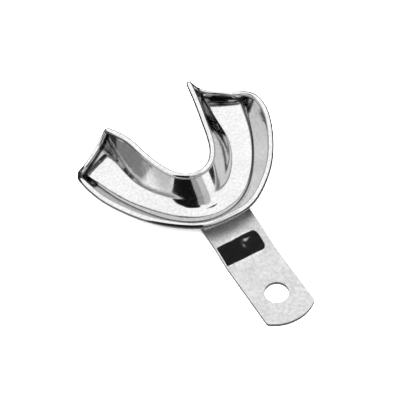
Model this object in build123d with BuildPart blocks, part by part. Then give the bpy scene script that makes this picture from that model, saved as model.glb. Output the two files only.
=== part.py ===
"""Lower impression tray: a pressed steel trough with brazed rim wires and a strip handle.

Frame: X to the right, Y towards the open heels, Z up. The origin is on the axis of the handle's hole,
on the plane that the tray stands on. Millimetres.
"""

import os
from math import cos, radians, sin, sqrt

from build123d import *

# Sheet and wire
SHEET = 0.9
RIM_WIRE_R = 1.15
HEEL_WIRE_R = 0.85

# Edge curves of the trough, right half, from the plane of symmetry towards the heel (x, y, z)
OUTER_RIM = [(0, 31.8, 8.5), (8.5, 32.8, 8.5), (16.5, 37.5, 8.5), (24, 44.7, 8.5), (30, 53.5, 8.5),
             (34.3, 62.4, 8.5), (36.2, 69.6, 8.5)]
OUTER_FOOT = [(0, 38, 2), (8.8, 40, 2), (14.6, 43.9, 2), (20.2, 50.2, 2), (24.8, 57.3, 2),
              (28.5, 64.8, 2), (31, 72, 2), (32.5, 77.5, 2), (34, 83, 2)]
LINGUAL_FOOT = [(0, 45.4, 1.7), (7, 47.9, 1.7), (13, 53.9, 1.7), (17.2, 60.6, 1.7), (19.8, 67.9, 1.7),
                (20.6, 75.4, 1.7), (21.2, 82.4, 1.7), (22, 89.4, 1.7), (22.8, 94, 1.7)]
LINGUAL_RIM = [(0, 53.1, 9.9), (4.6, 54.3, 9.9), (8, 57.5, 10), (11.1, 64, 10.2), (13.3, 72.4, 10.5),
               (15.1, 79.9, 10.9)]
FLOOR_LOW = 0.9
FLOOR_LOW_AT = 0.4

# Cross-sections: a point on each section's plane, and the way from tongue side to cheek side
STATIONS = [((0, 58.4), -90), ((5, 54.6), -68), ((9.3, 59.4), -47), ((11.8, 65.4), -32),
            ((14.2, 72.4), -26), ((16, 79.9), -28)]

# The heels are trimmed by hand and differ: the left arm (side -1) is about 3 mm shorter. Each has the
# last points of its two rims, and the plane of its turned-up edge: a point of it at the height of the
# resting plane, the way outwards, and how far it leans towards the front for each mm of height.
HORN = {
    1: [(16.4, 86.4, 11.3), (17.2, 91, 11.6)],
    -1: [(16.7, 83.6, 10.8), (18.7, 88, 10.2)],
}
HEEL_CORNER = {
    1: [(36.3, 74.2, 8.1), (35.7, 77.8, 7), (34, 81.2, 5.4)],
    -1: [(36.6, 72.8, 8.2), (36.5, 75.6, 7.3), (35.2, 78.5, 6.1)],
}
HEEL_POINT = {1: (19.2, 94.2), -1: (20.4, 90.9)}
HEEL_ANGLE = {1: -36.5, -1: -34.5}
HEEL_LEAN = 0.3

# The turned-up edge in that plane (distance along it, height), and how far ahead of it the slope starts
HEEL_EDGE = {
    1: [(0, 11.6), (3.2, 5.7), (8, 3.8), (14.5, 4), (19.6, 5.4)],
    -1: [(0, 10.2), (3.4, 5.8), (9.6, 4), (15.2, 4.4), (19.2, 6.1)],
}
HEEL_SLOPE = {1: 0.9, -1: 1}

# Handle
HANDLE_WIDTH = 19
HANDLE_THICK = 1.5
HANDLE_ROOT_Y = 40.4
HANDLE_STEP_Y = 26.1
HANDLE_FLAT_Y = 17.3
HANDLE_END_Y = -12.8
HANDLE_ROOT_Z = 4.4
HANDLE_STEP_Z = 3.7
HANDLE_END_R = 15
HANDLE_CORNER_R = 1.5
HOLE_R = 4.2
BEND_R = 4
HEEL_BEND_R = 2

# The handle's end: an arc between two rounded corners
HALF_WIDTH = HANDLE_WIDTH / 2
END_CORNER_Y = HANDLE_END_Y + HANDLE_END_R - sqrt(HANDLE_END_R**2 - HALF_WIDTH**2)

# The brazing fillet in the corner between the handle's top and the front wall
BRAZE_R = 1.1
BRAZE_ARC = [(-8, 35.8, 0), (0, 35, 0), (8, 35.8, 0)]


def edge_curve(half, left_end=(), right_end=()):
    """A whole edge curve from the left heel to the right one; each end can have points of its own."""
    left = [(-x, y, z) for x, y, z in reversed([*half[1:], *left_end])]
    with BuildLine() as line:
        Spline(*left, *half, *right_end)
    return line.line


def station_plane(point, angle, side=1, lean=0.0):
    """A plane whose local x runs outwards and whose local y is up, leaning towards the front."""
    outward = Vector(side * cos(radians(angle)), sin(radians(angle)), 0)
    up = Vector(side * outward.Y * lean, -side * outward.X * lean, 1)
    return Plane(origin=(side * point[0], point[1], 0), x_dir=outward, z_dir=outward.cross(up))


def crossing(edge, plane, heel):
    """Where an edge curve passes through a section plane on its way to a heel (parameter 0 or 1)."""
    low, high = 0.5, heel
    ahead = plane.to_local_coords(edge @ high).Z > 0
    for _ in range(40):
        middle = (low + high) / 2
        if (plane.to_local_coords(edge @ middle).Z > 0) == ahead:
            high = middle
        else:
            low = middle
    there = plane.to_local_coords(edge @ high)
    return (there.X, there.Y)


def offset_point(before, point, after, distance):
    """A corner of the section moved outwards by the sheet's thickness, square to both its sides."""
    first = (Vector(*point) - Vector(*before)).normalized()
    second = (Vector(*after) - Vector(*point)).normalized()
    normal_1 = Vector(first.Y, -first.X)
    normal_2 = Vector(second.Y, -second.X)
    bisector = (normal_1 + normal_2).normalized()
    moved = Vector(*point) + bisector * (distance / bisector.dot(normal_1))
    return (moved.X, moved.Y)


def section(plane, inside):
    """The sheet's cross-section: tongue wall, dished floor and cheek wall, one sheet thick."""
    rim_in, foot_in, floor, foot_out, rim_out = inside
    beyond_in = (2 * rim_in[0] - foot_in[0], 2 * rim_in[1] - foot_in[1])
    beyond_out = (2 * rim_out[0] - foot_out[0], 2 * rim_out[1] - foot_out[1])
    under = [
        offset_point(beyond_in, rim_in, foot_in, SHEET),
        offset_point(rim_in, foot_in, floor, SHEET),
        offset_point(foot_in, floor, foot_out, SHEET),
        offset_point(floor, foot_out, rim_out, SHEET),
        offset_point(foot_out, rim_out, beyond_out, SHEET),
    ]
    with BuildSketch(plane) as profile:
        with BuildLine():
            Line(rim_in, foot_in)
            ThreePointArc(foot_in, floor, foot_out)
            Line(foot_out, rim_out)
            Line(rim_out, under[4])
            Line(under[4], under[3])
            ThreePointArc(under[3], under[2], under[1])
            Line(under[1], under[0])
            Line(under[0], rim_in)
        make_face()
    return profile.sketch


outer_rim = edge_curve(OUTER_RIM, HEEL_CORNER[-1], HEEL_CORNER[1])
outer_foot = edge_curve(OUTER_FOOT)
lingual_foot = edge_curve(LINGUAL_FOOT)
lingual_rim = edge_curve(LINGUAL_RIM, HORN[-1], HORN[1])


def trough_section(plane, side):
    """A section whose inside corners are read off the four edge curves."""
    heel = 1.0 if side > 0 else 0.0
    edges = (lingual_rim, lingual_foot, outer_foot, outer_rim)
    rim_in, foot_in, foot_out, rim_out = (crossing(edge, plane, heel) for edge in edges)
    floor_low = (foot_in[0] + FLOOR_LOW_AT * (foot_out[0] - foot_in[0]), FLOOR_LOW / plane.y_dir.Z)
    return section(plane, [rim_in, foot_in, floor_low, foot_out, rim_out])


with BuildPart() as outer_rim_wire:
    with BuildSketch(Plane(origin=outer_rim @ 0, z_dir=outer_rim % 0)):
        Circle(RIM_WIRE_R)
    sweep(path=outer_rim)
outer_rim_wire.part.label = "outer_rim_wire"

with BuildPart() as lingual_rim_wire:
    with BuildSketch(Plane(origin=lingual_rim @ 0, z_dir=lingual_rim % 0)):
        Circle(RIM_WIRE_R)
    sweep(path=lingual_rim)
lingual_rim_wire.part.label = "lingual_rim_wire"


def heel_plane(side):
    return station_plane(HEEL_POINT[side], HEEL_ANGLE[side], side, HEEL_LEAN)


def heel_edge(side):
    """The turned-up edge's points in the local coordinates of its leaning plane."""
    upright = heel_plane(side).y_dir.Z
    return [(along, height / upright) for along, height in HEEL_EDGE[side]]


def heel_wire(side, label):
    """The thin wire across one heel, bent up at its tongue end to follow the horn of the wall."""
    with BuildPart() as wire:
        with BuildLine(heel_plane(side)) as path:
            FilletPolyline(*heel_edge(side), radius=HEEL_BEND_R)
        with BuildSketch(Plane(origin=path.wire() @ 0, z_dir=path.wire() % 0)):
            Circle(HEEL_WIRE_R)
        sweep(path=path.wire())
        for other in (outer_rim_wire, lingual_rim_wire):
            add(other.part, mode=Mode.SUBTRACT)
    wire.part.label = label
    return wire.part


right_heel_wire = heel_wire(1, "right_heel_wire")
left_heel_wire = heel_wire(-1, "left_heel_wire")


def heel_sections(side):
    """The last section of the trough on one side, and its turned-up edge beyond it."""
    edge = heel_plane(side)
    foot = edge.offset(side * HEEL_SLOPE[side])
    return trough_section(foot, side), section(edge, heel_edge(side))


right_sections = [trough_section(station_plane(*station), 1) for station in STATIONS]
left_sections = [trough_section(station_plane(*station, -1), -1) for station in STATIONS[1:]]
right_foot, right_edge = heel_sections(1)
left_foot, left_edge = heel_sections(-1)

with BuildPart() as pressing:
    loft([left_foot, *reversed(left_sections), *right_sections, right_foot])
    loft([right_foot, right_edge], ruled=True)
    loft([left_edge, left_foot], ruled=True)
    for wire in (outer_rim_wire.part, lingual_rim_wire.part, right_heel_wire, left_heel_wire):
        add(wire, mode=Mode.SUBTRACT)

with BuildPart() as tray_shell:
    add(pressing.part.solids().sort_by(SortBy.VOLUME)[-1])
tray_shell.part.label = "tray_shell"

with BuildPart() as strip:
    with BuildSketch(Plane.YZ):
        with BuildLine():
            top = FilletPolyline(
                (HANDLE_ROOT_Y, HANDLE_ROOT_Z),
                (HANDLE_STEP_Y, HANDLE_STEP_Z),
                (HANDLE_FLAT_Y, HANDLE_THICK),
                (HANDLE_END_Y, HANDLE_THICK),
                radius=BEND_R,
            )
            offset(top, amount=HANDLE_THICK, side=Side.LEFT, closed=True)
        make_face()
    extrude(amount=HANDLE_WIDTH / 2, both=True)
    with BuildSketch() as outline:
        with BuildLine():
            end = RadiusArc((-HALF_WIDTH, END_CORNER_Y), (HALF_WIDTH, END_CORNER_Y), -HANDLE_END_R)
            Polyline(end @ 1, (HALF_WIDTH, HANDLE_ROOT_Y), (-HALF_WIDTH, HANDLE_ROOT_Y), end @ 0)
        make_face()
        fillet(outline.vertices().group_by(Axis.Y)[0], HANDLE_CORNER_R)
        Circle(HOLE_R, mode=Mode.SUBTRACT)
    extrude(amount=HANDLE_ROOT_Z + HANDLE_THICK, both=True, mode=Mode.INTERSECT)
    add(tray_shell.part, mode=Mode.SUBTRACT)

with BuildPart() as handle:
    add(strip.part.solids().sort_by(Axis.Y)[0])
handle.part.label = "handle"

with BuildPart() as fillet_bar:
    with BuildLine():
        joint = ThreePointArc(*BRAZE_ARC)
    with BuildSketch(Plane(origin=joint @ 0, x_dir=(0, 1, 0), z_dir=(1, 0, 0))):
        with Locations((0, HANDLE_ROOT_Z)):
            Circle(BRAZE_R)
    sweep(path=joint)
    add(tray_shell.part, mode=Mode.SUBTRACT)
    add(handle.part, mode=Mode.SUBTRACT)

with BuildPart() as handle_braze:
    add(fillet_bar.part.solids().sort_by(Axis.Y)[0])
handle_braze.part.label = "handle_braze"

os.makedirs("parts", exist_ok=True)
for piece in (tray_shell.part, outer_rim_wire.part, lingual_rim_wire.part, right_heel_wire,
              left_heel_wire, handle.part, handle_braze.part):
    export_step(piece, f"parts/{piece.label}.step")
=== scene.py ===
"""Looks of the lower impression tray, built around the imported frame."""
import math

import bmesh
import bpy
import numpy as np
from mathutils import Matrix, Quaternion, Vector


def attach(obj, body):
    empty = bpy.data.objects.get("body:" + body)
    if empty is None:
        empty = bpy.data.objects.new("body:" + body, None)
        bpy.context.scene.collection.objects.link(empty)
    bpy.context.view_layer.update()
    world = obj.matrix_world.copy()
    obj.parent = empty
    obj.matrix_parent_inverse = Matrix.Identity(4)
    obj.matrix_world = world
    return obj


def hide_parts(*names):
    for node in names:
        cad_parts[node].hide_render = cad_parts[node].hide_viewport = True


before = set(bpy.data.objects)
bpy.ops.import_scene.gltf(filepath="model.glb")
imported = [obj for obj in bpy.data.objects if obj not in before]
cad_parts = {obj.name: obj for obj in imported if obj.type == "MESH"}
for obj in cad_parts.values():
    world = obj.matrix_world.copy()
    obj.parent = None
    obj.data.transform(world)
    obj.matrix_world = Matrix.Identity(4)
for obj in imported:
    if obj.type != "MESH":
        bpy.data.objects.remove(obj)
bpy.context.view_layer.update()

MM = 0.001

# ---------------------------------------------------------------- dimensions, in millimetres
SHEET = 0.9
RIM_WIRE_R = 1.15
HEEL_WIRE_R = 0.85

# Edge curves of the trough, right half, from the plane of symmetry towards the heel
OUTER_RIM = [(0, 31.8, 8.5), (8.5, 32.8, 8.5), (16.5, 37.5, 8.5), (24, 44.7, 8.5), (30, 53.5, 8.5),
             (34.3, 62.4, 8.5), (36.2, 69.6, 8.5)]
OUTER_FOOT = [(0, 38, 2), (8.8, 40, 2), (14.6, 43.9, 2), (20.2, 50.2, 2), (24.8, 57.3, 2),
              (28.5, 64.8, 2), (31, 72, 2), (32.5, 77.5, 2), (34, 83, 2)]
LINGUAL_FOOT = [(0, 45.4, 1.7), (7, 47.9, 1.7), (13, 53.9, 1.7), (17.2, 60.6, 1.7), (19.8, 67.9, 1.7),
                (20.6, 75.4, 1.7), (21.2, 82.4, 1.7), (22, 89.4, 1.7), (22.8, 94, 1.7)]
LINGUAL_RIM = [(0, 53.1, 9.9), (4.6, 54.3, 9.9), (8, 57.5, 10), (11.1, 64, 10.2), (13.3, 72.4, 10.5),
               (15.1, 79.9, 10.9)]
# The trough floor's lowest line: its height, and where it is between the two feet
FLOOR_LOW = 0.9
FLOOR_LOW_AT = 0.4

# Planes of the cross-sections: a point, and the way from tongue side to cheek side in degrees
STATIONS = [((0, 58.4), -90), ((5, 54.6), -68), ((9.3, 59.4), -47), ((11.8, 65.4), -32),
            ((14.2, 72.4), -26), ((16, 79.9), -28)]

# The two heels: right is side 1, left is side -1, and the left arm is the shorter one. Each turned-up
# edge lies in a plane that leans towards the front, given by its point at z = 0, its way outwards and
# its lean for each mm of height. The slope up to the edge starts HEEL_SLOPE ahead of that plane and
# steepens on the way, its height growing with the power HEEL_RISE.
HORN = {1: [(16.4, 86.4, 11.3), (17.2, 91, 11.6)], -1: [(16.7, 83.6, 10.8), (18.7, 88, 10.2)]}
HEEL_CORNER = {1: [(36.3, 74.2, 8.1), (35.7, 77.8, 7), (34, 81.2, 5.4)],
               -1: [(36.6, 72.8, 8.2), (36.5, 75.6, 7.3), (35.2, 78.5, 6.1)]}
HEEL_POINT = {1: (19.2, 94.2), -1: (20.4, 90.9)}
HEEL_ANGLE = {1: -36.5, -1: -34.5}
HEEL_LEAN = 0.3
HEEL_EDGE = {1: [(0, 11.6), (3.2, 5.7), (8, 3.8), (14.5, 4), (19.6, 5.4)],
             -1: [(0, 10.2), (3.4, 5.8), (9.6, 4), (15.2, 4.4), (19.2, 6.1)]}
HEEL_SLOPE = {1: 0.9, -1: 1}
HEEL_RISE = 1.25

# Beads: their radius at the heels' outer corners, the rounding of their bends, and the shares of
# their paths where they start and over which they taper
END_R = 0.98
TIP_TURN = 1.4
HEEL_TURN = 2.0
HEEL_BEAD_START = 0.97
LINGUAL_BEAD_START = 0.02
OUTER_TAPER = 0.08
HEEL_TAPER = 0.3

# Rounding of the two long creases inside the trough, as half the length that turns. The tongue-side
# one is wider at the front, over FRONT_SHARE of the arch each way from its middle. TURN_BLEND is the
# share of a section, each way from the floor's middle, over which one rounding changes to the other.
ARM_TURN = 0.9
FRONT_TURN = 2.3
OUTER_TURN = 1.7
FRONT_SHARE = 0.2
TURN_BLEND = 0.05

# Mesh density: columns on the tongue wall, the floor and the cheek wall, rows along the arch and on
# each heel's slope, and the points of a line while its corners are rounded
COLUMNS = (34, 46, 26)
ROWS = 260
HEEL_ROWS = 14
LINE_POINTS = 1200

# Painted shade, a dark colour standing in for the dark reflections: half the width of its line in the outer
# crease and in the heels' folds, and a patch low on the cheek wall near each outer corner (share of the
# arch and its reach, height and reach)
PAINTED_SHADE_WIDTH = 0.6
HEEL_PAINTED_SHADE_WIDTH = 1.2 * PAINTED_SHADE_WIDTH
SHADE_PATCH_ALONG, SHADE_PATCH_ALONG_REACH = 0.045, 0.022
SHADE_PATCH_UP, SHADE_PATCH_UP_REACH = 0.9, 1.5

# Handle: its top line is (y, z) from the root to the end
HANDLE_WIDTH = 19
HANDLE_THICK = 1.5
HANDLE_TOP = [(40.4, 4.4), (26.1, 3.7), (17.3, 1.5), (-12.8, 1.5)]
HANDLE_END_R = 15
HANDLE_CORNER_R = 1.5
HOLE_R = 4.2
BEND_TURN = 1.6
WORN_EDGE = 0.28

# Beyond STRAIGHT_TO the strip is drawn in, so that its root ends inside the bowed front wall
ROOT_MIDDLE = 35.2
ROOT_BOW = 1.5
STRAIGHT_TO = 29.0

# A shallow dent in the step, and the smooth patch that bending left there (middle and half size)
DENT_AT = (1.4, 22.4)
DENT_R = 1.9
DENT_DEPTH = 0.09
STEP_PATCH = (-1.5, 21.7, 8.5, 4.9)

# The strip's mesh: fine rows down to FINE_TO, then a few coarse ones round the hole
FINE_TO = 14
FINE_ROWS = 90
COARSE_Y = [8.0, HOLE_R, 0.0, -HOLE_R]
GRID_STEPS = 30
HOLE_POINTS = 64

# Braze
BRAZE_LINE = [(-8, 35.7, 4.3), (0, 34.3, 4.3), (8, 35.7, 4.3)]
BRAZE_R = 0.8


# ---------------------------------------------------------------- curves
class Curve:
    """A natural cubic spline through points, by chord length; called with numbers from 0 to 1."""

    def __init__(self, points):
        self.p = np.array(points, float)
        steps = np.linalg.norm(np.diff(self.p, axis=0), axis=1)
        self.t = np.concatenate([[0], np.cumsum(steps)]) / steps.sum()
        n, h = len(self.p), np.diff(self.t)
        a, b = np.eye(n), np.zeros_like(self.p)
        for i in range(1, n - 1):
            a[i, i - 1:i + 2] = h[i - 1], 2 * (h[i - 1] + h[i]), h[i]
            b[i] = 6 * ((self.p[i + 1] - self.p[i]) / h[i] - (self.p[i] - self.p[i - 1]) / h[i - 1])
        self.m = np.linalg.solve(a, b)

    def __call__(self, t):
        t = np.atleast_1d(t)
        i = np.clip(np.searchsorted(self.t, t, side="right") - 1, 0, len(self.t) - 2)
        h = (self.t[i + 1] - self.t[i])[:, None]
        a = (self.t[i + 1] - t)[:, None] / h
        b = (t - self.t[i])[:, None] / h
        return (a * self.p[i] + b * self.p[i + 1]
                + ((a**3 - a) * self.m[i] + (b**3 - b) * self.m[i + 1]) * h**2 / 6)


def both_sides(half, left_end=(), right_end=()):
    """The whole curve from the left heel to the right one, from the points of its right half."""
    left = [(-x, y, z) for x, y, z in reversed([*half[1:], *left_end])]
    return Curve([*left, *half, *right_end])


def even(points, count):
    """The same line with its points evenly spaced."""
    steps = np.linalg.norm(np.diff(points, axis=0), axis=1)
    length = np.concatenate([[0], np.cumsum(steps)])
    at = np.linspace(0, length[-1], count)
    return np.stack([np.interp(at, length, points[:, k]) for k in range(points.shape[1])], 1)


def rounded(points, turns, at):
    """A polyline with its corners rounded: each point becomes the mean of the line about it."""
    line = even(np.array(points, float), LINE_POINTS)
    steps = np.linalg.norm(np.diff(line, axis=0), axis=1)
    s = np.concatenate([[0], np.cumsum(steps)])
    area = np.concatenate([np.zeros((1, line.shape[1])),
                           np.cumsum((line[1:] + line[:-1]) / 2 * steps[:, None], 0)])
    at = np.asarray(at) * s[-1]
    reach = np.minimum(np.interp(at / s[-1], *zip(*turns)), np.minimum(at, s[-1] - at))
    reach = np.maximum(reach, 1e-6)
    ends = [np.stack([np.interp(at + d, s, area[:, k]) for k in range(line.shape[1])], 1)
            for d in (-reach, reach)]
    out = (ends[1] - ends[0]) / (2 * reach)[:, None]
    out[0], out[-1] = line[0], line[-1]
    return out


outer_rim = both_sides(OUTER_RIM, HEEL_CORNER[-1], HEEL_CORNER[1])
outer_foot = both_sides(OUTER_FOOT)
lingual_foot = both_sides(LINGUAL_FOOT)
lingual_rim = both_sides(LINGUAL_RIM, HORN[-1], HORN[1])
EDGES = [curve(np.linspace(0, 1, 4001)) for curve in (lingual_rim, lingual_foot, outer_foot, outer_rim)]


# ---------------------------------------------------------------- the trough's sections
def direction(degrees):
    return np.array([math.cos(math.radians(degrees)), math.sin(math.radians(degrees))])


def heading(angle, side):
    """The world angle of a section's way outwards, growing from the left heel to the right one."""
    return 360 + angle if side > 0 else 180 - angle


def plane_of(side, point, angle, ahead=0.0, lean=0.0):
    """[x, y, world angle, lean] of a section plane, moved towards the front by ahead."""
    outward = direction(heading(angle, side))
    front = np.array([outward[1], -outward[0]]) * side
    base = np.array([side * point[0], point[1]]) + front * ahead
    return [*base, heading(angle, side), side * lean]


def heel_plane(side, ahead=0.0):
    return plane_of(side, HEEL_POINT[side], HEEL_ANGLE[side], ahead, HEEL_LEAN)


planes = [heel_plane(-1, HEEL_SLOPE[-1])]
planes += [plane_of(-1, *station) for station in reversed(STATIONS[1:])]
planes += [plane_of(1, *station) for station in STATIONS]
planes += [heel_plane(1, HEEL_SLOPE[1])]

# In the spline through the planes, this many degrees weigh as much as one millimetre
DEGREES_PER_MM = 4
plane_curve = Curve([[x, y, a / DEGREES_PER_MM, lean] for x, y, a, lean in planes])

# A crossing further inwards of a plane's point than this belongs to the other arm
OTHER_ARM = -6


def corners(plane):
    """Where the four edge curves cross a section plane: distance outwards, and height."""
    base, outward = np.array(plane[:2]), direction(plane[2])
    normal = np.array([-outward[1], outward[0]])
    found = []
    for edge in EDGES:
        rel = edge[:, :2] - base
        off, out = rel @ normal + plane[3] * edge[:, 2], rel @ outward
        hits = np.nonzero((off[1:] * off[:-1] <= 0) & (out[1:] > OTHER_ARM))[0]
        i = hits[np.argmin(np.abs(out[hits]))] if len(hits) else int(np.argmin(np.abs(off)))
        f = off[i] / (off[i] - off[i + 1]) if off[i] != off[i + 1] else 0.0
        point = edge[i] + (edge[i + 1] - edge[i]) * f
        found.append((float((point[:2] - base) @ outward), float(point[2])))
    return found


def arc(a, m, b, count=40):
    """Points on the circle through three points."""
    a, m, b = map(np.array, (a, m, b))
    d = 2 * (a[0] * (m[1] - b[1]) + m[0] * (b[1] - a[1]) + b[0] * (a[1] - m[1]))
    ux = ((a @ a) * (m[1] - b[1]) + (m @ m) * (b[1] - a[1]) + (b @ b) * (a[1] - m[1])) / d
    uy = ((a @ a) * (b[0] - m[0]) + (m @ m) * (a[0] - b[0]) + (b @ b) * (m[0] - a[0])) / d
    c = np.array([ux, uy])
    r = np.linalg.norm(a - c)
    angles = np.unwrap([math.atan2(*(q - c)[::-1]) for q in (a, m, b)])
    turn = np.linspace(angles[0], angles[2], count)
    return c + r * np.stack([np.cos(turn), np.sin(turn)], 1)


def profile(rim_in, foot_in, floor, foot_out, rim_out, tongue_turn=ARM_TURN):
    """The inside of the sheet in one section, with both creases rounded."""
    bottom = arc(foot_in, floor, foot_out)
    line = np.concatenate([[rim_in], bottom, [rim_out]])
    lengths = [np.linalg.norm(np.subtract(foot_in, rim_in)),
               np.linalg.norm(np.diff(bottom, axis=0), axis=1).sum(),
               np.linalg.norm(np.subtract(rim_out, foot_out))]
    stops = np.concatenate([[0], np.cumsum(lengths)]) / sum(lengths)
    at = np.concatenate([np.linspace(stops[k], stops[k + 1], COLUMNS[k], endpoint=k == 2)
                         for k in range(3)])
    middle = (stops[1] + stops[2]) / 2
    turns = [(0, tongue_turn), (middle - TURN_BLEND, tongue_turn),
             (middle + TURN_BLEND, OUTER_TURN), (1, OUTER_TURN)]
    return rounded(line, turns, at)


def to_world(plane, flat):
    """Points given in a section plane as distance outwards and height."""
    outward = direction(plane[2])
    x = plane[0] + outward[0] * flat[:, 0] + outward[1] * plane[3] * flat[:, 1]
    y = plane[1] + outward[1] * flat[:, 0] - outward[0] * plane[3] * flat[:, 1]
    return np.stack([x, y, flat[:, 1]], 1)


def trough_row(plane, tongue_turn):
    rim_in, foot_in, foot_out, rim_out = corners(plane)
    floor = (foot_in[0] + FLOOR_LOW_AT * (foot_out[0] - foot_in[0]), FLOOR_LOW)
    return to_world(plane, profile(rim_in, foot_in, floor, foot_out, rim_out, tongue_turn))


def heel_row(side):
    """The turned-up edge itself."""
    return to_world(heel_plane(side), profile(*HEEL_EDGE[side]))


def heel_rows(side, foot_row):
    """Rows from the last section of the trough up to the turned-up edge."""
    edge = heel_row(side)
    rows = []
    for k in range(1, HEEL_ROWS + 1):
        s = k / HEEL_ROWS
        row = foot_row + (edge - foot_row) * s
        row[:, 2] = foot_row[:, 2] + (edge[:, 2] - foot_row[:, 2]) * s**HEEL_RISE
        rows.append(row)
    return rows


def inside_rows():
    """The trough's inside as rows of points, from the left heel's edge to the right one's."""
    rows = []
    for t in np.linspace(0, 1, ROWS):
        x, y, a, lean = plane_curve(t)[0]
        front = math.exp(-((t - 0.5) / FRONT_SHARE)**4)
        plane = [x, y, a * DEGREES_PER_MM, lean]
        rows.append(trough_row(plane, ARM_TURN + (FRONT_TURN - ARM_TURN) * front))
    left = heel_rows(-1, rows[0])
    right = heel_rows(1, rows[-1])
    return np.array([*reversed(left), *rows, *right])


# ---------------------------------------------------------------- meshes
def new_object(name, verts, faces, material, smooth=True, painted_shade=None):
    mesh = bpy.data.meshes.new(name)
    mesh.from_pydata([tuple(float(c) * MM for c in v) for v in verts], [], faces)
    mesh.update()
    # Per-point darkness of the painted shade in the folds, read by the steel material
    if painted_shade is not None:
        painted_shade_values = mesh.attributes.new("painted_shade", "FLOAT", "POINT")
        painted_shade_values.data.foreach_set("value", np.array(painted_shade, np.float32))
    bm = bmesh.new()
    bm.from_mesh(mesh)
    bmesh.ops.remove_doubles(bm, verts=bm.verts, dist=1e-7)
    bmesh.ops.recalc_face_normals(bm, faces=bm.faces)
    bm.to_mesh(mesh)
    bm.free()
    for polygon in mesh.polygons:
        polygon.use_smooth = smooth
    obj = bpy.data.objects.new(name, mesh)
    bpy.context.scene.collection.objects.link(obj)
    mesh.materials.append(material)
    return obj


def grid_normals(rows):
    along = np.gradient(rows, axis=0)
    across = np.gradient(rows, axis=1)
    n = np.cross(along, across)
    n /= np.linalg.norm(n, axis=2, keepdims=True) + 1e-12
    if n[len(rows) // 2, rows.shape[1] // 2, 2] < 0:
        n = -n
    return n


def crease_painted_shade(rows):
    """How dark each inside point is painted, 0 to 1: painted shade in the folds of the sheet and in a patch
    near each outer corner.
    """
    def ease(mm, width):
        return np.exp(-(mm / width)**2)

    count = len(rows)
    steps = np.linalg.norm(np.diff(rows, axis=1), axis=2)
    across = np.concatenate([np.zeros((count, 1)), np.cumsum(steps, 1)], 1)
    along = np.clip((np.arange(count) - HEEL_ROWS) / (ROWS - 1), 0, 1)
    outer = across - across[:, [sum(COLUMNS[:2])]]
    painted_shade = ease(outer, PAINTED_SHADE_WIDTH)
    for fold in (HEEL_ROWS, HEEL_ROWS + ROWS - 1):
        gap = np.linalg.norm(rows - rows[[fold]], axis=2)
        painted_shade = np.maximum(painted_shade, ease(gap, HEEL_PAINTED_SHADE_WIDTH))
    # A patch of painted shade low on the cheek wall near each outer corner
    corner = np.minimum(np.abs(along - SHADE_PATCH_ALONG), np.abs(along - (1 - SHADE_PATCH_ALONG)))
    patch = ease(corner, SHADE_PATCH_ALONG_REACH)[:, None] * ease(outer - SHADE_PATCH_UP, SHADE_PATCH_UP_REACH)
    return np.clip(np.maximum(painted_shade, patch), 0, 1)


def shell_mesh(name, material):
    """The pressed sheet: the inside, and an underside one sheet's thickness away from it."""
    rows = inside_rows()
    under = rows - grid_normals(rows) * SHEET
    count, width = rows.shape[:2]
    verts = [*rows.reshape(-1, 3), *under.reshape(-1, 3)]
    base = count * width
    at = lambda i, j, lower: i * width + j + (base if lower else 0)
    faces = []
    for i in range(count - 1):
        for j in range(width - 1):
            faces.append((at(i, j, 0), at(i + 1, j, 0), at(i + 1, j + 1, 0), at(i, j + 1, 0)))
            faces.append((at(i, j, 1), at(i, j + 1, 1), at(i + 1, j + 1, 1), at(i + 1, j, 1)))
        for j in (0, width - 1):
            faces.append((at(i, j, 0), at(i, j, 1), at(i + 1, j, 1), at(i + 1, j, 0)))
    for j in range(width - 1):
        for i in (0, count - 1):
            faces.append((at(i, j, 0), at(i, j + 1, 0), at(i, j + 1, 1), at(i, j, 1)))
    # Painted shade on the inside points only; the underside gets none
    painted_shade = [*crease_painted_shade(rows).ravel(), *np.zeros(base)]
    return new_object(name, verts, faces, material, painted_shade=painted_shade)


DOME_RINGS = 6
DOME_TIP_R = 0.02


def tube(name, path, radii, material, sides=24):
    """A round bar along a path, with domed ends."""
    path, radii = np.array(path, float), np.array(radii, float)
    tangent = np.gradient(path, axis=0)
    tangent /= np.linalg.norm(tangent, axis=1, keepdims=True)
    dome = np.linspace(0, math.pi / 2, DOME_RINGS + 1)[:-1]
    path = np.concatenate([
        [path[0] - tangent[0] * radii[0] * math.cos(a) for a in dome], path,
        [path[-1] + tangent[-1] * radii[-1] * math.cos(a) for a in dome[::-1]]])
    radii = np.concatenate([[max(radii[0] * math.sin(a), DOME_TIP_R) for a in dome], radii,
                            [max(radii[-1] * math.sin(a), DOME_TIP_R) for a in dome[::-1]]])
    tangent = np.concatenate([[tangent[0]] * DOME_RINGS, tangent, [tangent[-1]] * DOME_RINGS])
    side = np.cross(tangent[0], (0, 0, 1))
    side /= np.linalg.norm(side)
    verts, faces = [], []
    for p, t, r in zip(path, tangent, radii):
        side = side - t * (side @ t)
        side /= np.linalg.norm(side)
        other = np.cross(t, side)
        for k in range(sides):
            a = 2 * math.pi * k / sides
            verts.append(p + (side * math.cos(a) + other * math.sin(a)) * r)
    for i in range(len(path) - 1):
        for k in range(sides):
            n = (k + 1) % sides
            faces.append((i * sides + k, i * sides + n, (i + 1) * sides + n, (i + 1) * sides + k))
    last = (len(path) - 1) * sides
    faces.append(tuple(range(sides))[::-1])
    faces.append(tuple(range(last, last + sides)))
    return new_object(name, verts, faces, material)


# ---------------------------------------------------------------- materials
def node(tree, kind, **inputs):
    made = tree.nodes.new(kind)
    for name, value in inputs.items():
        made.inputs[name.replace("_", " ")].default_value = value
    return made


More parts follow.
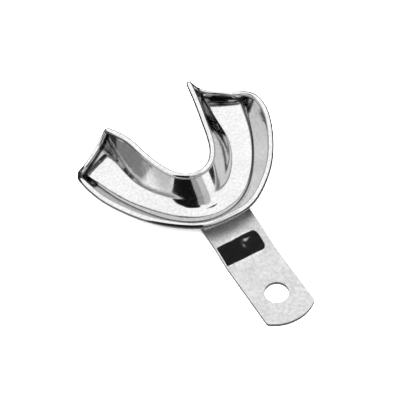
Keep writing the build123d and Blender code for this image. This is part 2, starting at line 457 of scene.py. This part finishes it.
def noise(tree, coords, scale, detail=3.0, stretch=None, roughness=0.55):
    made = node(tree, "ShaderNodeTexNoise", Scale=scale, Detail=detail, Roughness=roughness)
    if stretch is None:
        tree.links.new(coords, made.inputs["Vector"])
    else:
        mapping = node(tree, "ShaderNodeMapping", Scale=stretch)
        tree.links.new(coords, mapping.inputs["Vector"])
        tree.links.new(mapping.outputs["Vector"], made.inputs["Vector"])
    return made.outputs["Fac"]


def spread(tree, value, low, high, start=0.0, end=1.0):
    made = node(tree, "ShaderNodeMapRange")
    made.inputs["From Min"].default_value = start
    made.inputs["From Max"].default_value = end
    made.inputs["To Min"].default_value = low
    made.inputs["To Max"].default_value = high
    tree.links.new(value, made.inputs["Value"])
    return made.outputs["Result"]


def combine(tree, how, a, b):
    made = tree.nodes.new("ShaderNodeMath")
    made.operation = how
    for value, socket in ((a, made.inputs[0]), (b, made.inputs[1])):
        if isinstance(value, (int, float)):
            socket.default_value = value
        else:
            tree.links.new(value, socket)
    return made.outputs[0]


def bump(tree, height, strength, distance, below=None):
    made = node(tree, "ShaderNodeBump", Strength=strength, Distance=distance)
    tree.links.new(height, made.inputs["Height"])
    if below is not None:
        tree.links.new(below, made.inputs["Normal"])
    return made.outputs["Normal"]


# Noise scales, in cells per metre; the hairlines run along Y and along X
CLOUD, SMUDGE, SPECKLE = 90.0, 260.0, 1000.0
HAIR_ALONG_Y, HAIR_ALONG_X = 900.0, 1100.0

# Colour painted in as shade in the folds and near the outer corners
PAINTED_SHADE_COLOUR = (0.035, 0.034, 0.033)


def steel(name, dark, light, rough, grain, wave, scratch, grain_scale=4200.0, patch=None,
          speckle=(0.86, 1.06)):
    """Stainless steel. rough is its roughness range; grain, wave and scratch are heights in metres.
    patch is where bending has left it smooth: its middle and half size in X and Y, in millimetres.
    speckle is the range by which fine mottling multiplies the colour."""
    material = bpy.data.materials.new(name)
    material.use_nodes = True
    tree = material.node_tree
    shader = tree.nodes["Principled BSDF"]
    shader.inputs["Metallic"].default_value = 1.0
    coords = node(tree, "ShaderNodeTexCoord").outputs["Object"]

    cloud = noise(tree, coords, CLOUD, 4.0)
    smudge = noise(tree, coords, SMUDGE, 5.0)
    fine = noise(tree, coords, grain_scale, 2.0)
    hair_y = noise(tree, coords, HAIR_ALONG_Y, 2.0, stretch=(1.0, 0.06, 0.4))
    hair_x = noise(tree, coords, HAIR_ALONG_X, 2.0, stretch=(0.07, 1.0, 0.5))
    scratches = combine(tree, "MAXIMUM", spread(tree, hair_y, 0, 1, 0.66, 0.74),
                        spread(tree, hair_x, 0, 1, 0.67, 0.75))

    tint = node(tree, "ShaderNodeMix")
    tint.data_type = "RGBA"
    tint.inputs["A"].default_value = (*dark, 1)
    tint.inputs["B"].default_value = (*light, 1)
    tree.links.new(spread(tree, cloud, 0, 1, 0.3, 0.7), tint.inputs["Factor"])
    speckled = node(tree, "ShaderNodeMix")
    speckled.data_type = "RGBA"
    speckled.blend_type = "MULTIPLY"
    speckled.inputs["Factor"].default_value = 1.0
    tree.links.new(tint.outputs["Result"], speckled.inputs["A"])
    mottle = noise(tree, coords, SPECKLE, 3.0)
    tree.links.new(spread(tree, mottle, *speckle, 0.3, 0.7), speckled.inputs["B"])
    # Painted shade: the mesh attribute darkens the colour in the folds and near the outer corners
    painted_shade_mix = node(tree, "ShaderNodeMix")
    painted_shade_mix.data_type = "RGBA"
    painted_shade_mix.inputs["B"].default_value = (*PAINTED_SHADE_COLOUR, 1)
    painted_shade_mask = node(tree, "ShaderNodeAttribute")
    painted_shade_mask.attribute_name = "painted_shade"
    tree.links.new(spread(tree, painted_shade_mask.outputs["Fac"], 0, 0.95, 0.15, 0.7), painted_shade_mix.inputs["Factor"])
    tree.links.new(speckled.outputs["Result"], painted_shade_mix.inputs["A"])
    tree.links.new(painted_shade_mix.outputs["Result"], shader.inputs["Base Color"])

    base = spread(tree, smudge, *rough, 0.3, 0.72)
    if patch is not None:
        split = tree.nodes.new("ShaderNodeSeparateXYZ")
        tree.links.new(coords, split.inputs[0])
        reach = 0.0
        for axis, middle, half in zip("XY", patch[:2], patch[2:]):
            off = combine(tree, "SUBTRACT", split.outputs[axis], middle * MM)
            off = combine(tree, "ABSOLUTE", combine(tree, "DIVIDE", off, half * MM), 0.0)
            reach = combine(tree, "ADD", reach, combine(tree, "POWER", off, 4.0))
        matt = spread(tree, reach, 0, 1, 0.85, 1.1)
        base = combine(tree, "ADD", combine(tree, "MULTIPLY", base, matt), 0.06)
        fine = combine(tree, "MULTIPLY", fine, matt)
    worn = combine(tree, "MULTIPLY", scratches, 0.05)
    tree.links.new(combine(tree, "ADD", base, worn), shader.inputs["Roughness"])

    normal = bump(tree, cloud, 1.0, wave)
    normal = bump(tree, fine, 1.0, grain, normal)
    normal = bump(tree, scratches, 1.0, -scratch, normal)
    tree.links.new(normal, shader.inputs["Normal"])
    return material


polished = steel("polished_steel", (0.6, 0.6, 0.607), (0.68, 0.68, 0.68), (0.05, 0.12),
                 grain=0.4e-6, wave=60e-6, scratch=1e-6)
satin = steel("satin_steel", (0.54, 0.54, 0.545), (0.61, 0.61, 0.61), (0.34, 0.44),
              grain=9e-6, wave=40e-6, scratch=2e-6, grain_scale=2600.0, patch=STEP_PATCH,
              speckle=(0.8, 1.12))
brazing = steel("silver_braze", (0.66, 0.64, 0.6), (0.76, 0.74, 0.7), (0.16, 0.3),
                grain=2e-6, wave=30e-6, scratch=1e-6)


# ---------------------------------------------------------------- the tray
def place(obj, slot, *nodes):
    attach(obj, "root")
    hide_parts(*nodes)


def heel_path(side):
    """The line of a heel's bead: it leaves the tongue rim in a bend and follows the turned-up edge."""
    bends = [(0, HEEL_TURN), (1, HEEL_TURN)]
    edge = to_world(heel_plane(side), rounded(HEEL_EDGE[side], bends, np.linspace(0, 1, 80)))
    near, end = (HEEL_BEAD_START, 1.0) if side > 0 else (1 - HEEL_BEAD_START, 0.0)
    rim = lingual_rim(np.linspace(near, end, 12))
    corner = np.concatenate([rim, edge[1:]])
    return rounded(corner, [(0, TIP_TURN), (1, TIP_TURN)], np.linspace(0, 1, 140))


def tapered(count, middle, first, last, reach):
    """Radii along a bead that change from first and to last over a share of its length."""
    at = np.linspace(0, 1, count)
    ease = lambda t: 0.5 - 0.5 * np.cos(np.pi * np.clip(t, 0, 1))
    return (middle + (first - middle) * (1 - ease(at / reach))
            + (last - middle) * (1 - ease((1 - at) / reach)))


shell = shell_mesh("trough_shell", polished)
place(shell, "polished_steel", "tray_shell")

line = even(outer_rim(np.linspace(0, 1, 2001)), 420)
outer_radii = tapered(len(line), RIM_WIRE_R, END_R, END_R, OUTER_TAPER)
outer_bead = tube("outer_rim_bead", line, outer_radii, polished)
place(outer_bead, "polished_steel", "outer_rim_wire")

line = even(lingual_rim(np.linspace(LINGUAL_BEAD_START, 1 - LINGUAL_BEAD_START, 2001)), 300)
lingual_bead = tube("lingual_rim_bead", line, np.full(len(line), RIM_WIRE_R), polished)
place(lingual_bead, "polished_steel", "lingual_rim_wire")

for side, word in ((1, "right"), (-1, "left")):
    line = heel_path(side)
    heel_radii = tapered(len(line), HEEL_WIRE_R, RIM_WIRE_R, END_R, HEEL_TAPER)
    bead = tube(f"{word}_heel_bead", line, heel_radii, polished)
    place(bead, "polished_steel", f"{word}_heel_wire")


# ---------------------------------------------------------------- the handle
def handle_line():
    """The handle's top line (y, z), from its root to its end."""
    return rounded(HANDLE_TOP, [(0, BEND_TURN), (1, BEND_TURN)], np.linspace(0, 1, 400))


def handle_outline():
    """The handle's plan, from the root's right corner round the end to the root's left corner."""
    half = HANDLE_WIDTH / 2
    root_y, end_y = HANDLE_TOP[0][0], HANDLE_TOP[-1][0]
    centre = np.array([0, end_y + HANDLE_END_R])
    corner = np.array([half - HANDLE_CORNER_R, 0])
    corner[1] = centre[1] - math.sqrt((HANDLE_END_R - HANDLE_CORNER_R)**2 - corner[0]**2)
    split = math.atan2(corner[0], centre[1] - corner[1])
    side_y = np.unique(np.concatenate([np.linspace(root_y, FINE_TO, FINE_ROWS), COARSE_Y]))[::-1]
    right = [(half, y) for y in side_y]
    right += [tuple(corner + HANDLE_CORNER_R * np.array([math.cos(a), -math.sin(a)]))
              for a in np.linspace(0, math.pi / 2 - split, 8)]
    right += [tuple(centre + HANDLE_END_R * np.array([math.sin(a), -math.cos(a)]))
              for a in np.linspace(split, 0, 14)[1:]]
    left = [(-x, y) for x, y in right[-2::-1]]
    return right, left


def handle_mesh(name, material):
    """The bent strip with its hole: a gridded top face, thickened downwards, with worn edges."""
    line = handle_line()
    slope = np.gradient(line[:, 1], line[:, 0])
    height = lambda y: float(np.interp(y, line[::-1, 0], line[::-1, 1]))
    lean = lambda y: float(np.interp(y, line[::-1, 0], slope[::-1]))
    right, left = handle_outline()
    bm = bmesh.new()

    def dent(x, y):
        return DENT_DEPTH * math.exp(-((x - DENT_AT[0])**2 + (y - DENT_AT[1])**2) / DENT_R**2)

    def vert(x, y):
        """A point of the top face. Rows next to the root are drawn in, so that they end in the wall."""
        root = ROOT_MIDDLE + ROOT_BOW * (x / HANDLE_WIDTH * 2)**2
        if y > STRAIGHT_TO:
            full = HANDLE_TOP[0][0] - STRAIGHT_TO
            y = STRAIGHT_TO + (y - STRAIGHT_TO) * (root - STRAIGHT_TO) / full
        return bm.verts.new((x * MM, y * MM, (height(y) - dent(x, y)) * MM))

    loop = [vert(*p) for p in [*right, *left]]
    grid = []
    for i in range(FINE_ROWS):
        a, b = loop[i], loop[len(loop) - 1 - i]
        row = [a]
        for k in range(1, GRID_STEPS):
            row.append(vert(a.co.x / MM * (1 - 2 * k / GRID_STEPS), a.co.y / MM))
        grid.append([*row, b])
    for i in range(FINE_ROWS - 1):
        for k in range(GRID_STEPS):
            bm.faces.new((grid[i][k], grid[i][k + 1], grid[i + 1][k + 1], grid[i + 1][k]))
    # The rest is two faces that meet at the hole's sides, one towards the tray and one at the end
    hole = [vert(HOLE_R * math.cos(a), HOLE_R * math.sin(a))
            for a in np.linspace(0, 2 * math.pi, HOLE_POINTS + 1)[:-1]]
    upper = hole[:HOLE_POINTS // 2 + 1]
    lower = [*hole[HOLE_POINTS // 2:], hole[0]]
    middle = next(i for i, v in enumerate(loop) if abs(v.co.y) < 1e-9)
    far = len(loop) - 1 - middle
    bm.faces.new([*reversed(grid[-1]), *loop[FINE_ROWS:middle + 1], *upper,
                  *loop[far:len(loop) - FINE_ROWS]])
    bm.faces.new([*loop[middle:far + 1], *lower])
    bmesh.ops.recalc_face_normals(bm, faces=bm.faces)
    top = list(bm.faces)
    if sum(f.normal.z * f.calc_area() for f in top) < 0:
        bmesh.ops.reverse_faces(bm, faces=top)
    made = bmesh.ops.extrude_face_region(bm, geom=top)
    for v in (g for g in made["geom"] if isinstance(g, bmesh.types.BMVert)):
        y = v.co.y / MM
        n = np.array([-lean(y), 1.0]) / math.hypot(lean(y), 1.0)
        v.co.y -= n[0] * HANDLE_THICK * MM
        v.co.z -= n[1] * HANDLE_THICK * MM
    bmesh.ops.recalc_face_normals(bm, faces=bm.faces)
    mesh = bpy.data.meshes.new(name)
    bm.to_mesh(mesh)
    bm.free()
    obj = bpy.data.objects.new(name, mesh)
    bpy.context.scene.collection.objects.link(obj)
    mesh.materials.append(material)
    for polygon in mesh.polygons:
        polygon.use_smooth = True
    bevel = obj.modifiers.new("worn_edges", "BEVEL")
    bevel.width = WORN_EDGE * MM
    bevel.segments = 3
    bevel.limit_method = "ANGLE"
    bevel.angle_limit = math.radians(40)
    smooth = obj.modifiers.new("shading", "WEIGHTED_NORMAL")
    smooth.keep_sharp = False
    return obj


handle = handle_mesh("strip_handle", satin)
place(handle, "satin_steel", "handle")

braze_line = even(Curve(BRAZE_LINE)(np.linspace(0, 1, 60)), 60)
braze_radii = BRAZE_R * np.sqrt(np.clip(1 - np.linspace(-1, 1, 60)**4, 0.1, 1))
braze = tube("braze_fillet", braze_line, braze_radii, brazing, 20)
place(braze, "braze", "handle_braze")


# ---------------------------------------------------------------- floor, light and camera
def plain(name, color, roughness):
    material = bpy.data.materials.new(name)
    material.use_nodes = True
    shader = material.node_tree.nodes["Principled BSDF"]
    shader.inputs["Base Color"].default_value = (*color, 1)
    shader.inputs["Roughness"].default_value = roughness
    shader.inputs["Specular IOR Level"].default_value = 0.1
    return material


FLOOR_HALF = 4000.0
FLOOR_Z = -0.03
floor_corners = [(x * FLOOR_HALF, y * FLOOR_HALF, FLOOR_Z) for x, y in ((-1, -1), (1, -1), (1, 1), (-1, 1))]
floor = new_object("studio_floor", floor_corners, [(0, 1, 2, 3)],
                   plain("pale_floor", (0.93, 0.93, 0.93), 0.8), smooth=False)

# The camera, fitted to the object's outline: where it looks, from which way, and from how far
AIM = Vector((-2.26, 49.35, 0)) * MM
ELEVATION, AZIMUTH, ROLL = math.radians(52.51), math.radians(26.18), math.radians(4.36)
DISTANCE = 571.7 * MM
toward = Vector((-math.sin(AZIMUTH) * math.cos(ELEVATION), -math.cos(AZIMUTH) * math.cos(ELEVATION),
                 math.sin(ELEVATION)))
camera = bpy.data.objects.new("camera", bpy.data.cameras.new("camera"))
camera.data.sensor_width = 36.0
camera.data.lens = 143.0
camera.data.clip_start, camera.data.clip_end = 0.01, 20.0
camera.location = AIM + toward * DISTANCE
camera.rotation_mode = "QUATERNION"
camera.rotation_quaternion = (-toward).to_track_quat("-Z", "Y") @ Quaternion((0, 0, 1), -ROLL)
bpy.context.scene.collection.objects.link(camera)
bpy.context.scene.camera = camera

world = bpy.data.worlds.new("studio")
world.use_nodes = True
bpy.context.scene.world = world
back = world.node_tree.nodes["Background"]
back.inputs["Color"].default_value = (1, 1, 1, 1)
back.inputs["Strength"].default_value = 1.48

# Reflection cards: parts of spheres about the middle of the tray, on the resting plane
CARD_R = 1500.0
CARD_CENTRE_Y = 50
CARD_FACE_DEGREES = 4


def card(name, azimuths, elevations, level, radius=CARD_R):
    """A curved screen round the set, seen only in reflections. Azimuth 0 is +Y and 90 is +X, in
    degrees; level 0 is black."""
    verts, faces = [], []
    across = max(2, int(abs(azimuths[1] - azimuths[0]) / CARD_FACE_DEGREES))
    up = max(2, int(abs(elevations[1] - elevations[0]) / CARD_FACE_DEGREES))
    for e in np.linspace(*elevations, up + 1):
        for a in np.linspace(*azimuths, across + 1):
            e_r, a_r = math.radians(e), math.radians(a)
            verts.append((radius * math.sin(a_r) * math.cos(e_r),
                          radius * math.cos(a_r) * math.cos(e_r) + CARD_CENTRE_Y,
                          radius * math.sin(e_r)))
    for i in range(up):
        for j in range(across):
            k = i * (across + 1) + j
            faces.append((k, k + 1, k + across + 2, k + across + 1))
    material = bpy.data.materials.new(name)
    material.use_nodes = True
    nodes = material.node_tree.nodes
    nodes.clear()
    glow = node(material.node_tree, "ShaderNodeEmission", Strength=level)
    out = nodes.new("ShaderNodeOutputMaterial")
    material.node_tree.links.new(glow.outputs[0], out.inputs["Surface"])
    obj = new_object(name, verts, faces, material, smooth=False)
    obj.visible_camera = obj.visible_diffuse = obj.visible_shadow = obj.visible_transmission = False


card("flag_front", (-160, -111), (11, 62), 0.01)
card("grey_front", (-180, -160), (8, 62), 0.5)
card("grey_right", (155, 180), (18, 65), 0.8)
card("flag_above", (-168, -112), (62, 78), 0.01)
card("flag_over_step", (55, 92), (69, 79), 0.02)
card("horizon", (-180, 180), (-30, 17), 0.04)
card("table", (-180, 180), (-89, -30), 0.3)
# These two stand in front of the horizon
card("left_wall", (-111, -80), (-5, 17), 0.8, CARD_R - 100)
card("left_wall_far", (-80, -50), (-5, 17), 0.3, CARD_R - 100)
floor.visible_glossy = False

light = bpy.data.objects.new("overhead_softbox", bpy.data.lights.new("overhead_softbox", "AREA"))
light.data.size = 2.0
light.data.energy = 130.0
light.location = (-0.25, -0.45, 1.5)
light.visible_glossy = False
light.visible_camera = False
bpy.context.scene.collection.objects.link(light)

bpy.context.scene.view_settings.view_transform = "Standard"
